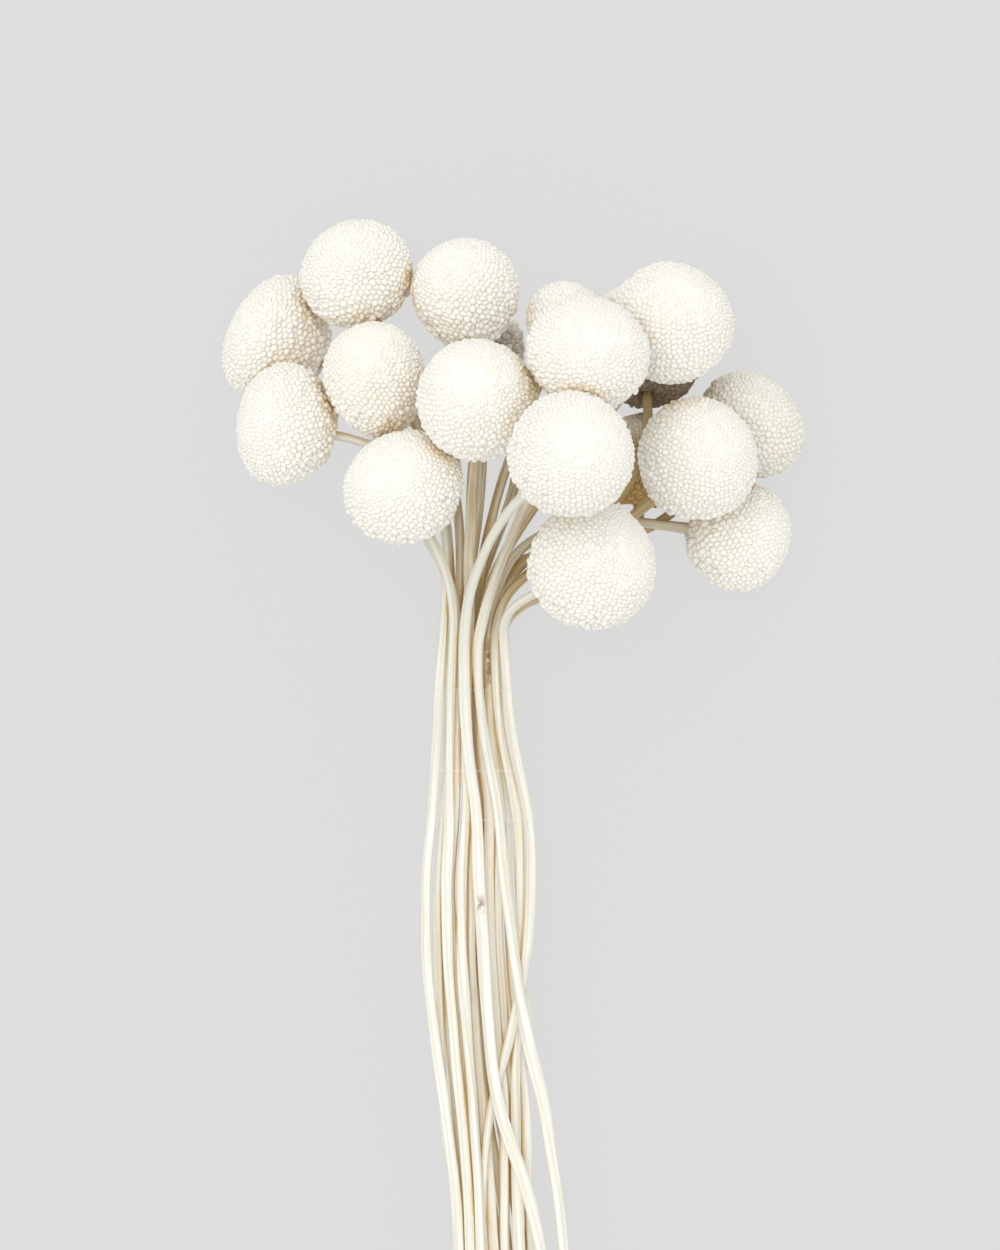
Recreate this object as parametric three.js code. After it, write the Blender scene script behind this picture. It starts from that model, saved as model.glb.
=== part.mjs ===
// A gathered bunch of eighteen billy buttons (Craspedia), dried and bleached, lying on a table.
// Each round flower head sits on its own stalk, and a band of clear tape holds the stalks.
// Millimetres, +Z up. +Y runs from the cut ends to the heads, and +X is to the right.
// The origin is under the middle of the bunch, on the table.
import * as THREE from "three";

// ---- driving dimensions ---------------------------------------------------------------------

const usualStalk = 2.3; // diameter
const stalkSides = 6;
const air = 0.3; // left between neighbours, so that no two pieces share any space
const neckY = 323; // the narrowest place of the bundle, measured from the cut ends
const tape = { from: 287.5, to: 316.5, thick: 0.4, air: 0.3 };
const cutSpread = 16; // how far the cut ends differ in length
const cutOrder = 7; // steps through the stalks so that neighbours are cut at unlike lengths

// The bundle from the cut ends to the neck: how far along, where its middle lies across, half its
// width, the height of its middle above the table, and the height from one row to the next.
const stations = [
  { y: 0, x: 9, half: 17, z: 3.6, row: 1.4 },
  { y: 100, x: 10, half: 14, z: 10.2, row: 1.6 },
  { y: 193, x: 7, half: 12.1, z: 16.6, row: 1.8 },
  { y: 226, x: 2.8, half: 11.3, z: 19.0, row: 1.7 },
  { y: 248, x: -0.5, half: 10.2, z: 20.6, row: 1.6 },
  { y: 270, x: 0.1, half: 11.4, z: 22.2, row: 1.5 },
  { y: 292, x: 0.2, half: 10.0, z: 23.8, row: 1.6 },
  { y: 305, x: -1.2, half: 8.1, z: 24.8, row: 1.9 },
  { y: neckY, x: -1.65, half: 6.7, z: 26.2, row: 2.2 },
];
const laneStations = [0, 193, 226, 248, 270, neckY];

// One flower each, from the lowest to the topmost. x, y: the middle of its head. lift: the least
// height of that middle, if nothing below holds the head higher. girth, half: the head's radius
// across its axis, and half its length. bearing, rise: where its crown points, in degrees from
// +X towards +Y and up from level. taper: how much the head narrows to its stalk. lanes: where
// the stalk runs in the bundle at each lane station, from the left edge, -1, to the right, 1.
// row: its layer in the bundle, from -2 at the bottom to 2 on top. stalk: its stalk's diameter, if
// that isn't the usual one. bend: how far the stalk keeps its direction at the neck and at the
// head, as a part of the way between them.
const flowers = [
  { x: -44.2, y: 393.8, lift: 0, girth: 14.2, half: 11.8, bearing: 152, rise: -3, taper: 0.25,
    lanes: [-1.01, -1.06, -1.08, -0.97, -0.93, -0.85], row: 0.3, bend: 0.5 },
  { x: 2.0, y: 392.3, lift: 0, girth: 8.4, half: 8.2, bearing: 114, rise: -4, taper: 0.06,
    lanes: [-0.06, -0.06, -0.1, 0.08, 0.09, -0.09], row: -1.3 },
  { x: 36.6, y: 392.8, lift: 0, girth: 14.3, half: 14.2, bearing: 92, rise: -24, taper: 0.05,
    lanes: [0.15, 0.16, 0.05, 0.34, 0.2, 0.38], row: -1.5, bend: 0.52 },
  { x: 59.7, y: 374.6, lift: 0, girth: 12.6, half: 11.6, bearing: 50, rise: 0, taper: 0.08,
    lanes: [0.31, 0.33, 0.63, 0.86, 0.59, 0.6], row: -0.9, bend: 0.6 },
  { x: 57.2, y: 350.5, lift: 0, girth: 12.4, half: 12.0, bearing: -8, rise: -4, taper: 0.08,
    lanes: [0.23, 0.24, 0.53, 0.68, 0.44, 0.85], row: -0.1, bend: 0.55 },
  { x: 36.4, y: 366.9, lift: 0, girth: 11.2, half: 10.8, bearing: 84, rise: 0, taper: 0.05,
    lanes: [0.37, 0.39, 0.44, 1.02, 0.36, 0.75], row: -1.4, bend: 0.5 },
  { x: -27.1, y: 407.9, lift: 0, girth: 12.8, half: 12.0, bearing: 112, rise: -2, taper: 0.05,
    lanes: [-0.89, -0.94, -0.77, -0.72, -0.69, -0.7], row: -0.7, bend: 0.5 },
  { x: 19.1, y: 397.4, lift: 0, girth: 9.2, half: 9.2, bearing: 66, rise: 4, taper: 0.06,
    lanes: [-0.25, -0.26, -0.43, -0.13, -0.11, 0.13], row: -0.6 },
  { x: -3.2, y: 403.4, lift: 25, girth: 12.0, half: 12.5, bearing: 100, rise: 10, taper: 0.1,
    lanes: [-0.1, -0.45, -0.3, -0.2, -0.24, -0.3], row: 0.4 },
  { x: -42.5, y: 374.8, lift: 25, girth: 13.9, half: 11.3, bearing: 168, rise: 8, taper: 0.12,
    lanes: [-0.83, -0.87, -0.87, -0.96, -1.0, -0.93], row: 1.3, stalk: 2.1, bend: 0.5 },
  { x: 42.2, y: 397.1, lift: 34, girth: 13.8, half: 13.8, bearing: 56, rise: 22, taper: 0.05,
    lanes: [-0.13, -0.14, 0.31, 0.5, 0.3, 0.42], row: 0.3 },
  { x: -22.8, y: 384.4, lift: 30, girth: 11.2, half: 13.6, bearing: 102, rise: 22, taper: 0.18,
    lanes: [-0.47, -0.5, -0.54, -0.41, -0.59, -0.5], row: 0.7, bend: 0.5 },
  { x: 47.9, y: 367.1, lift: 32, girth: 14.0, half: 13.4, bearing: 42, rise: 32, taper: 0.05,
    lanes: [0.04, 0.04, 0.33, 0.81, 0.73, 0.67], row: 0.9, bend: 0.5 },
  { x: -16.7, y: 360.9, lift: 40, girth: 13.8, half: 12.0, bearing: 118, rise: 30, taper: 0.05,
    lanes: [-0.74, -0.78, -0.66, -0.62, -0.7, -0.76], row: 1.2, stalk: 2.2, bend: 0.42 },
  { x: -0.6, y: 379.8, lift: 44, girth: 13.7, half: 13.8, bearing: 86, rise: 38, taper: 0.05,
    lanes: [-0.53, -0.56, -0.38, -0.26, -0.38, -0.13], row: 1 },
  { x: 23.3, y: 389.8, lift: 40, girth: 13.7, half: 12.2, bearing: 70, rise: 34, taper: 0.12,
    lanes: [1, 1.05, 1.09, 1.04, 0.57, 0.17], row: 1.7, stalk: 2.7, bend: 0.2 },
  { x: 24.4, y: 343.9, lift: 48, girth: 14.4, half: 14.4, bearing: 27, rise: 22, taper: 0.05,
    lanes: [-0.66, -0.69, -0.08, 0.91, 0.99, 1.09], row: 0.7, stalk: 2.1 },
  { x: 20.0, y: 367.9, lift: 60, girth: 14.1, half: 13.9, bearing: 40, rise: 45, taper: 0.05,
    lanes: [0.57, 0.6, 0.09, 0.22, -0.02, -0.38], row: 2, stalk: 2.8, bend: 0.3 },
];

const headSides = 16;
const headRings = 8;
const seatAngle = THREE.MathUtils.degToRad(159); // where the round outline meets the flat seat
const dropStart = 110; // the height from which the heads come down, and the step they take
const dropStep = 0.1;

const lowPoints = 20; // route points from the cut end to the neck
const fanPoints = 9; // route points from the neck to the head
const usualBend = 0.36;
const leadLength = 11; // below the neck, along which its direction is read
const footLength = 3; // the straight end of a stalk under its head
const footPoints = 4; // the last route points, which may lie close to the stalk's own head

const relaxPasses = 500;
const firstEase = 0.4; // how much a bend eases in the first pass
const headReach = 18; // farther than any head's skin from its middle
const skinChecks = [0.25, 0.5, 0.75, 1]; // places on each piece of a route that keep off the heads

const tapeSides = 36; // straight sides of the tape, each drawn against the stalks
const tapeSteps = 6; // steps along the bundle in which the tape's outline changes
const tapeChecks = 400; // places felt on each stalk

const headFinish = new THREE.MeshStandardMaterial({ color: 0xf8f4e8, roughness: 0.9 });
const stalkFinish = new THREE.MeshStandardMaterial({ color: 0xf0e8d2, roughness: 0.7 });
const tapeFinish = new THREE.MeshStandardMaterial({ color: 0xf4f4f0, roughness: 0.15 });

// ---- flower heads ---------------------------------------------------------------------------

function crownDirection({ bearing, rise }) {
  const around = THREE.MathUtils.degToRad(bearing);
  const up = THREE.MathUtils.degToRad(rise);
  return new THREE.Vector3(
    Math.cos(up) * Math.cos(around), Math.cos(up) * Math.sin(around), Math.sin(up));
}

// The outline of a head, from its flat seat to its crown: near a ball, and narrower at the seat.
function headOutline({ girth, half, taper }) {
  const outline = [new THREE.Vector2(0, half * Math.cos(seatAngle))];
  for (let ring = headRings; ring >= 0; ring--) {
    const angle = (seatAngle * ring) / headRings;
    const across = girth * Math.sin(angle) * (1 + taper * Math.cos(angle));
    outline.push(new THREE.Vector2(across, half * Math.cos(angle)));
  }
  return outline;
}

function headSolid(flower) {
  const solid = new THREE.LatheGeometry(headOutline(flower), headSides);
  const turn = new THREE.Quaternion().setFromUnitVectors(
    new THREE.Vector3(0, 1, 0), crownDirection(flower));
  return solid.applyQuaternion(turn);
}

function corners(solid) {
  const place = solid.attributes.position;
  const corner = (_, i) => new THREE.Vector3().fromBufferAttribute(place, i);
  return Array.from({ length: place.count }, corner);
}

// How far a point lies outside a head, measured along the line from the head's middle.
function outside(flower, point) {
  const arm = point.clone().sub(flower.middle);
  const along = arm.dot(flower.crown);
  const across = Math.sqrt(Math.max(arm.lengthSq() - along * along, 0));
  const level = THREE.MathUtils.clamp(along / flower.half, -1, 1);
  const girth = flower.girth * (1 + flower.taper * level);
  const scale = Math.hypot(along / flower.half, across / girth);
  return scale > 0 ? arm.length() * (1 - 1 / scale) : -flower.half;
}

// Each head comes down over its place until it meets a head below it, its own lift or the table.
function lowerHeads() {
  flowers.forEach((flower, index) => {
    flower.stalk ??= usualStalk;
    flower.crown = crownDirection(flower);
    flower.solid = headSolid(flower);
    const skin = corners(flower.solid);
    const underside = -Math.min(...skin.map((corner) => corner.z));
    const lowest = Math.max(flower.lift, underside);
    const below = flowers.slice(0, index);
    flower.middle = new THREE.Vector3(flower.x, flower.y, dropStart);
    const clear = () => below.every((other) => {
      if (flower.middle.distanceTo(other.middle) > 2 * headReach) return true;
      return skin.every((corner) => outside(other, corner.clone().add(flower.middle)) > air);
    });
    while (flower.middle.z - dropStep >= lowest && clear()) flower.middle.z -= dropStep;
    if (clear()) flower.middle.z = lowest;
    else flower.middle.z += dropStep;
  });
}

// ---- stalks ---------------------------------------------------------------------------------

// The value at y of a smooth line through values given at rising places.
function smoothAt(places, values, y) {
  const last = places.length - 2;
  const at = Math.min(Math.max(places.findLastIndex((place) => place <= y), 0), last);
  const slope = (i) => {
    const [before, after] = [Math.max(i - 1, 0), Math.min(i + 1, last + 1)];
    return (values[after] - values[before]) / (places[after] - places[before]);
  };
  const span = places[at + 1] - places[at];
  const part = (y - places[at]) / span;
  const rest = 1 - part;
  return values[at] * rest * rest * (1 + 2 * part) + values[at + 1] * part * part * (3 - 2 * part)
    + span * part * rest * (slope(at) * rest - slope(at + 1) * part);
}

function bundleAt(y) {
  const places = stations.map((station) => station.y);
  const read = (key) => smoothAt(places, stations.map((station) => station[key]), y);
  return { x: read("x"), half: read("half"), z: read("z"), row: read("row") };
}

// A stalk's route: along its lane of the bundle to the neck, then in one bend to the head's seat.
function plannedRoute(flower, index) {
  const cut = (cutSpread * ((index * cutOrder) % flowers.length)) / flowers.length;
  const inLane = (y) => {
    const bundle = bundleAt(y);
    const lane = smoothAt(laneStations, flower.lanes, y);
    const x = bundle.x + lane * (bundle.half - flower.stalk / 2);
    const z = bundle.z + flower.row * bundle.row;
    return new THREE.Vector3(x, y, Math.max(z, flower.stalk / 2));
  };
  const route = [];
  for (let i = 0; i < lowPoints; i++) {
    route.push(inLane(THREE.MathUtils.lerp(cut, neckY, i / (lowPoints - 1))));
  }
  const neck = route[lowPoints - 1];
  const seat = flower.middle.clone().addScaledVector(
    flower.crown, flower.half * Math.cos(seatAngle) - air);
  const foot = seat.clone().addScaledVector(flower.crown, -footLength);
  const pull = neck.distanceTo(foot) * (flower.bend ?? usualBend);
  const lead = neck.clone().sub(inLane(neckY - leadLength)).normalize();
  const bend = new THREE.CubicBezierCurve3(
    neck, neck.clone().addScaledVector(lead, pull),
    foot.clone().addScaledVector(flower.crown, -pull), foot);
  return route.concat(bend.getPoints(fanPoints - 1).slice(1), seat);
}

// The nearest places of two straight pieces, as parts of their lengths.
function nearest(a, b, c, d) {
  const ab = b.clone().sub(a);
  const cd = d.clone().sub(c);
  const ca = a.clone().sub(c);
  const [aa, cc, ac] = [ab.lengthSq(), cd.lengthSq(), ab.dot(cd)];
  const [ae, ce] = [ab.dot(ca), cd.dot(ca)];
  const flat = aa * cc - ac * ac;
  let s = flat > 1e-9 ? THREE.MathUtils.clamp((ac * ce - ae * cc) / flat, 0, 1) : 0.5;
  const t = THREE.MathUtils.clamp((ac * s + ce) / cc, 0, 1);
  s = THREE.MathUtils.clamp((ac * t - ae) / aa, 0, 1);
  return [s, t];
}

// Moves the ends of one straight piece so that the place at `part` of its length shifts by `move`.
function shift(route, k, part, move, held) {
  const share = (1 - part) ** 2 + part ** 2;
  if (k < held) route[k].addScaledVector(move, (1 - part) / share);
  if (k + 1 < held) route[k + 1].addScaledVector(move, part / share);
}

function partStalks(routes, held) {
  for (let i = 0; i < routes.length; i++) {
    for (let j = i + 1; j < routes.length; j++) {
      const reach = (flowers[i].stalk + flowers[j].stalk) / 2 + air;
      for (let k = 0; k + 1 < routes[i].length; k++) {
        const [a, b] = [routes[i][k], routes[i][k + 1]];
        for (let m = 0; m + 1 < routes[j].length; m++) {
          const [c, d] = [routes[j][m], routes[j][m + 1]];
          if (Math.min(a.y, b.y) > Math.max(c.y, d.y) + reach) continue;
          if (Math.max(a.y, b.y) < Math.min(c.y, d.y) - reach) continue;
          if (Math.min(a.x, b.x) > Math.max(c.x, d.x) + reach) continue;
          if (Math.max(a.x, b.x) < Math.min(c.x, d.x) - reach) continue;
          const [s, t] = nearest(a, b, c, d);
          const from = a.clone().lerp(b, s);
          const away = c.clone().lerp(d, t).sub(from);
          const miss = reach - away.length();
          if (miss <= 0) continue;
          away.y = 0;
          away.setLength(miss / 2);
          shift(routes[j], m, t, away, held);
          shift(routes[i], k, s, away.negate(), held);
        }
      }
    }
  }
}

function leaveHeads(routes, held) {
  routes.forEach((route, own) => {
    const reach = flowers[own].stalk / 2 + air;
    for (let k = lowPoints - 2; k + 1 < route.length; k++) {
      for (const part of skinChecks) {
        const place = route[k].clone().lerp(route[k + 1], part);
        flowers.forEach((flower, other) => {
          if (other === own && k > held - footPoints) return;
          if (place.distanceTo(flower.middle) > headReach + reach) return;
          const miss = reach - outside(flower, place);
          if (miss <= 0) return;
          shift(route, k, part, place.clone().sub(flower.middle).setLength(miss), held);
        });
      }
    }
  });
}

// The stalks give way to each other, to the heads and to the table, and stay smooth.
function relax(routes) {
  const held = lowPoints + fanPoints - 2;
  const plan = routes.map((route) => route.map((point) => point.clone()));
  const drift = new THREE.Vector3();
  for (let pass = 0; pass < relaxPasses; pass++) {
    const ease = firstEase * Math.sqrt(1 - pass / relaxPasses);
    routes.forEach((route, i) => {
      const moved = route.map((point, k) => point.clone().sub(plan[i][k]));
      for (let k = 0; k < held; k++) {
        const before = moved[Math.max(k - 1, 0)];
        drift.copy(before).add(moved[k + 1]).multiplyScalar(0.5).sub(moved[k]);
        route[k].addScaledVector(drift, ease);
      }
    });
    partStalks(routes, held);
    leaveHeads(routes, held);
    routes.forEach((route, i) => route.forEach((point) => {
      point.z = Math.max(point.z, flowers[i].stalk / 2);
    }));
  }
}

// A curve whose rings land on the route's own points.
class Route extends THREE.CatmullRomCurve3 {
  getPointAt(part, target) {
    return this.getPoint(part, target);
  }

  getTangentAt(part, target) {
    return this.getTangent(part, target);
  }
}

function stalkSolid(route, diameter) {
  const section = new THREE.Shape();
  for (let i = 0; i < stalkSides; i++) {
    const angle = (2 * Math.PI * (i + 0.5)) / stalkSides;
    const [x, y] = [Math.cos(angle), Math.sin(angle)].map((part) => (part * diameter) / 2);
    if (i === 0) section.moveTo(x, y);
    else section.lineTo(x, y);
  }
  section.closePath();
  return new THREE.ExtrudeGeometry(section, {
    steps: route.length - 1, bevelEnabled: false, extrudePath: new Route(route) });
}

// ---- tape -----------------------------------------------------------------------------------

// The corners of the tape's outline at y, counterclockwise as seen along -Y. Each side is drawn
// against the stalks as far as they reach within one step of y, and kept off their centres.
function tapeRing(centres, y, distance) {
  const step = (tape.to - tape.from) / tapeSteps;
  const near = centres.filter(({ point }) => Math.abs(point.y - y) <= step);
  const sides = Array.from({ length: tapeSides }, (_, i) => {
    const angle = (2 * Math.PI * i) / tapeSides;
    const [x, z] = [Math.cos(angle), Math.sin(angle)];
    const reaches = near.map(({ point, radius }) => point.x * x + point.z * z + radius);
    return { x, z, far: distance + Math.max(...reaches) };
  });
  const spread = Math.sin((2 * Math.PI) / tapeSides);
  return sides.map((side, i) => {
    const after = sides[(i + 1) % tapeSides];
    return new THREE.Vector3(
      (side.far * after.z - after.far * side.z) / spread, y,
      (after.far * side.x - side.far * after.x) / spread);
  });
}

function tapeSolid(routes) {
  const centres = [];
  routes.forEach((route, index) => {
    const curve = new Route(route);
    const radius = flowers[index].stalk / 2;
    for (let i = 0; i <= tapeChecks; i++) {
      const point = curve.getPoint((i / tapeChecks) * (lowPoints / (route.length - 1)));
      centres.push({ point, radius });
    }
  });
  const places = [];
  for (let step = 0; step <= tapeSteps; step++) {
    const y = THREE.MathUtils.lerp(tape.from, tape.to, step / tapeSteps);
    places.push(...tapeRing(centres, y, tape.air + tape.thick), ...tapeRing(centres, y, tape.air));
  }
  const faces = [];
  const quad = (a, b, c, d) => faces.push(a, b, c, c, b, d);
  for (let i = 0; i < tapeSides; i++) {
    const after = (i + 1) % tapeSides;
    for (let step = 0; step < tapeSteps; step++) {
      const low = 2 * tapeSides * step;
      const high = low + 2 * tapeSides;
      quad(low + i, high + i, low + after, high + after);
      quad(low + tapeSides + i, low + tapeSides + after, high + tapeSides + i,
        high + tapeSides + after);
    }
    const top = 2 * tapeSides * tapeSteps;
    quad(i, after, tapeSides + i, tapeSides + after);
    quad(top + i, top + tapeSides + i, top + after, top + tapeSides + after);
  }
  const solid = new THREE.BufferGeometry().setFromPoints(places);
  solid.setIndex(faces);
  solid.computeVertexNormals();
  return solid;
}

// ---- the bunch ------------------------------------------------------------------------------

function named(solid, finish, name) {
  const mesh = new THREE.Mesh(solid, finish);
  mesh.name = name;
  return mesh;
}

lowerHeads();
const routes = flowers.map(plannedRoute);
relax(routes);

const bunch = new THREE.Group();
flowers.forEach((flower, index) => {
  const number = String(index + 1).padStart(2, "0");
  const head = named(flower.solid, headFinish, `flower_head_${number}`);
  head.position.copy(flower.middle);
  bunch.add(head);
  bunch.add(named(stalkSolid(routes[index], flower.stalk), stalkFinish, `stem_${number}`));
});
bunch.add(named(tapeSolid(routes), tapeFinish, "clear_tape"));

const box = new THREE.Box3().setFromObject(bunch);
const middle = box.getCenter(new THREE.Vector3());
bunch.position.set(-middle.x, -middle.y, -box.min.z);

export default bunch;
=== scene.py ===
import math

import bmesh
import bpy
import numpy as np
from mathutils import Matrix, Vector
from mathutils.bvhtree import BVHTree


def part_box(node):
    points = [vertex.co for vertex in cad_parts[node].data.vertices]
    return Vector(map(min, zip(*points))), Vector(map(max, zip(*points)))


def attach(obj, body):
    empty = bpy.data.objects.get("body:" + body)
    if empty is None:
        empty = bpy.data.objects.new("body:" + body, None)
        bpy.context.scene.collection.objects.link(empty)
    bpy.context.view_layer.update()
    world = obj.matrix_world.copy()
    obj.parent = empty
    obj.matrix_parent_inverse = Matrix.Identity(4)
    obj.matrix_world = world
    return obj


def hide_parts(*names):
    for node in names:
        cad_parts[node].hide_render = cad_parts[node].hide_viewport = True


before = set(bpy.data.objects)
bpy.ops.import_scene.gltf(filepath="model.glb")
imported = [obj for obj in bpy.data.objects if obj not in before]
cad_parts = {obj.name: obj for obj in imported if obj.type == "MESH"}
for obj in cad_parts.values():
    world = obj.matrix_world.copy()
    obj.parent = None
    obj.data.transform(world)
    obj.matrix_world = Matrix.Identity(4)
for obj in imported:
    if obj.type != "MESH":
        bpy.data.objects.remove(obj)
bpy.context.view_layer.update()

# A gathered bunch of dried, bleached billy buttons (Craspedia) lying on a pale floor. Each flower head
# is a ball of small knob-like florets packed in spirals, on a thin bare stem. Two turns of clear tape
# hold the stems. Everything is in metres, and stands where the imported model's solids stand.

MM = 0.001
flowers = sorted(node[-2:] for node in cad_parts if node.startswith("flower_head_"))

# ---- sizes -------------------------------------------------------------------------------------

FLORET_SPACING = 1.35 * MM
FLORET_JITTER = 0.15  # how far florets stray from the even spiral, as a part of their spacing
CROWN_FINENESS = 0.38  # how much less room than usual a floret takes at the crown
GOLDEN_TURN = math.pi * (3 - math.sqrt(5))
SKIN_INSET = 0.1 * MM  # the florets' tips lie this far inside the CAD outline
SEAT_HOLLOW = 1.2 * MM  # how far the seat is drawn in around the stem

# At the crown, and where the florets stand open near the seat:
GAP_DEPTH = (0.36 * MM, 1.4 * MM)
GAP_RELIEF = (0.3, 0.05)  # how light the painted shade in the gaps is: 0 is the darkest colour
SHOULDER_DROP = (0.12 * MM, 0.24 * MM)  # from a floret's tip to its widest part
SHOULDER_REACH = (0.6, 0.8)  # towards the corners of the floret's cell
SHOULDER_ROUND = (0.66, 0.88)  # towards the middles of the cell's sides
FLORET_HEIGHTS = (0.12 * MM, 0.28 * MM)  # how unlike the florets' heights are
OPEN_SHARES = (0.1, 0.8)  # the part of a head's skin over which its florets open

GAP_UNEVEN = (0.8, 1.15)
LOST_FLORETS = (0.02, 3)  # the part of the florets that is sunk, and how far against the usual spread
HIGHEST_FLORET = 1.8  # how far the highest stands out, against that spread
FLORET_PITS = (-0.06, 0.1)  # in mm, how far a floret's middle is domed or sunk
FLORET_TINTS = 0.18  # how unlike the florets' creaminess is
SHOULDER_RELIEF = 0.6
LUMP_HEIGHT = 0.14 * MM
LUMP_SINK = 0.15 * MM  # the lumpy skin lies this far in, so that its lumps stay inside the outline
LUMP_RATES = (1.5, 3)
LUMPS = 5

CAD_STEM_SIDES = 6
STEM_SIDES = 20
STEM_STEP = 2.5 * MM
STEM_INTO_HEAD = 2.2 * MM
STEM_GRAIN = 0.04  # how finely the grain changes along a stem, against across it
STEM_LOOSE = 0.12 * MM  # how far a stalk wanders from its solid's middle line
STEM_UNEVEN = 0.05
STEM_FLATNESS = 0.08
RIDGES = ((5, 0.065, 1), (3, 0.045, 2))  # how many round a stalk, how high and where they start
GROOVE_SHADE_FULL = 0.09  # how far in, as a part of the radius, a groove has the full strength of its painted shade
NECK_SWELL = 0.3
NECK_REACH = 3 * MM
SCAR_LENGTH = 1.6 * MM
SCAR_WIDTH = 0.5
SCAR_TINT = 0.3
SCAR_HEIGHT = 0.22 * MM
CUT_TINT = 0.5
CUT_REACH = 1.2 * MM
CUT_BEVEL = 0.86
PITH_DEPTH = 0.35 * MM  # how hollow the cut is
GREY_STRETCHES = 0.25  # how grey the greyer stretches of a stalk are
GREY_SHADE = 0.7  # and above the neck of the bundle

# How thick the stems are against their solids, in the bundle and above its neck.
USUAL_GIRTH = (0.97, 0.93)
GIRTHS = {"16": (0.93, 0.8), "18": (0.91, 0.76)}
THINNING = (0.04, 0.07)  # where along the bunch they turn thinner, and over what length

TAPE_FILM = 0.12 * MM
TAPE_AIR = 0.1 * MM
TAPE_SIDES = 72
TAPE_RINGS = 12
TAPE_SECOND_TURN = 0.38  # the second turn's lower edge, as a part of the tape's width
# Where a painted highlight (glint) lies on the film, its size, and how strong it is:
TAPE_GLINT = (-0.0126, 0.0989)
GLINT_SIZE = (0.45 * MM, 2 * MM)
GLINT_SHINE = 2
# how wide the painted highlight along each edge of the film is
EDGE_WIDTH = 0.2 * MM

USUAL_CREAM = 0.25
CREAMS = {"12": 1.0, "04": 0.45, "03": 0.5}  # the heads that are creamier than the rest

# Heads with painted shade where they're hidden among the others: how strong it is, how golden it is, how
# closed in a floret is where it starts, and how far along the bunch it reaches.
PAINTED_SHADES = {"02": (0.6, 0, 0.2, 1), "03": (1, 0, 0.2, 1), "04": (0.1, 0, -0.3, 1),
         "06": (0.95, 1, -0.3, 0.165), "08": (0.05, 0, 0.2, 1)}
NO_PAINTED_SHADE = (0, 0, 0, 1)
PAINTED_SHADE_SPAN = 0.3  # over how much more closing in it reaches its full strength
PAINTED_SHADE_EDGE = 5 * MM

# How strong each stalk's tan painted shade is, between its head and the neck of the bundle and below it.
PAINTED_SHADE_TANS = {"01": (0.9, 0.05), "02": (1, 0.1), "03": (1.8, 0.15), "04": (1.6, 0.03), "05": (0.7, 0.05),
        "06": (1.8, 0.1), "07": (1, 0.08), "08": (1.2, 0.1), "09": (0.9, 0.08), "10": (0.2, 0),
        "11": (1.1, 0.05), "12": (0.2, 0.02), "13": (1.6, 0.02), "14": (0.1, 0), "15": (0.8, 0.02),
        "16": (0.45, 0), "17": (0.1, 0.02), "18": (0.05, 0)}
SHADE_TAN_FADES = (0.108, 0.138)
GREY_FADES = (0.08, 0.125)  # where along the bunch all the stalks turn a little greyer

# Dark marks on top of the stalks: the stalk, where along the bunch, and half the mark's length in mm.
MARKS = (("05", 0.1125, 5), ("03", 0.0576, 1.5), ("18", 0.0590, 0.8))

FLOOR_REACH = 15.0
FLOOR_SHADE = 0.08
FLOOR_GLOW = 0.636
SKY_LIGHT = 0.88
LAMP_LIGHT = 0.34 * math.pi
LAMP_SIZE = 40
LAMP_FROM = (-0.12, 0.12, 1.0)

VIEW_HEIGHT = 0.275
VIEW_MIDDLE = Vector((-0.0030, 0.1207, 0.045))
CAMERA_DISTANCE = 5.0
SENSOR = 36

FELT_RAYS = 20
FELT_START = 1.2 * MM
FELT_REACH = 30 * MM

# ---- shared helpers ----------------------------------------------------------------------------


def unit(vectors):
    return vectors / np.maximum(np.linalg.norm(vectors, axis=-1, keepdims=True), 1e-12)


def blend(pair, part):
    return pair[0] + (pair[1] - pair[0]) * part


def welded(node):
    """A CAD node's solid, with the corners that its faces share joined to one."""
    solid = bmesh.new()
    solid.from_mesh(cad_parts[node].data)
    bmesh.ops.remove_doubles(solid, verts=solid.verts[:], dist=0.01 * MM)
    return solid


def smooth_line(points, step, before=None, after=None):
    """Points a step apart along a smooth curve through the given ones."""
    first = 2 * points[0] - points[1] if before is None else before
    last = 2 * points[-1] - points[-2] if after is None else after
    row = np.vstack((first, points, last))
    a, b, c, d = row[:-3], row[1:-2], row[2:-1], row[3:]
    part = np.linspace(0, 1, 24, endpoint=False)[:, None, None]
    bends = (2 * b + (c - a) * part + (2 * a - 5 * b + 4 * c - d) * part**2
             + (3 * b - a - 3 * c + d) * part**3) / 2
    curve = np.vstack((bends.transpose(1, 0, 2).reshape(-1, row.shape[1]), points[-1]))
    length = np.append(0, np.cumsum(np.linalg.norm(np.diff(curve, axis=0), axis=1)))
    stops = np.linspace(0, length[-1], max(2, round(length[-1] / step) + 1))
    return np.column_stack([np.interp(stops, length, axis) for axis in curve.T])


def gathered_solids():
    """The CAD solids that shut light out, in one search tree."""
    places, faces = [], []
    for node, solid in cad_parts.items():
        if node == "clear_tape":
            continue
        start = len(places)
        places.extend(corner.co for corner in solid.data.vertices)
        faces.extend([start + corner for corner in face.vertices] for face in solid.data.polygons)
    return BVHTree.FromPolygons(places, faces)


def shut_in(places, ways):
    """How much of the space over each place the bunch's own solids take, from 0 to 1."""
    number = np.arange(FELT_RAYS) + 0.5
    across = np.sqrt(number / FELT_RAYS)
    turn = number * GOLDEN_TURN
    fan = [Vector(ray) for ray in zip(across * np.cos(turn), across * np.sin(turn), np.sqrt(1 - across**2))]
    hits = np.zeros(len(places))
    for i, (place, way) in enumerate(zip(places, ways)):
        stand = Vector(way).to_track_quat("Z", "Y").to_matrix()
        start = Vector(place + way * FELT_START)
        hits[i] = sum(SOLIDS.ray_cast(start, stand @ ray, FELT_REACH)[0] is not None for ray in fan)
    return hits / FELT_RAYS


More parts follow.
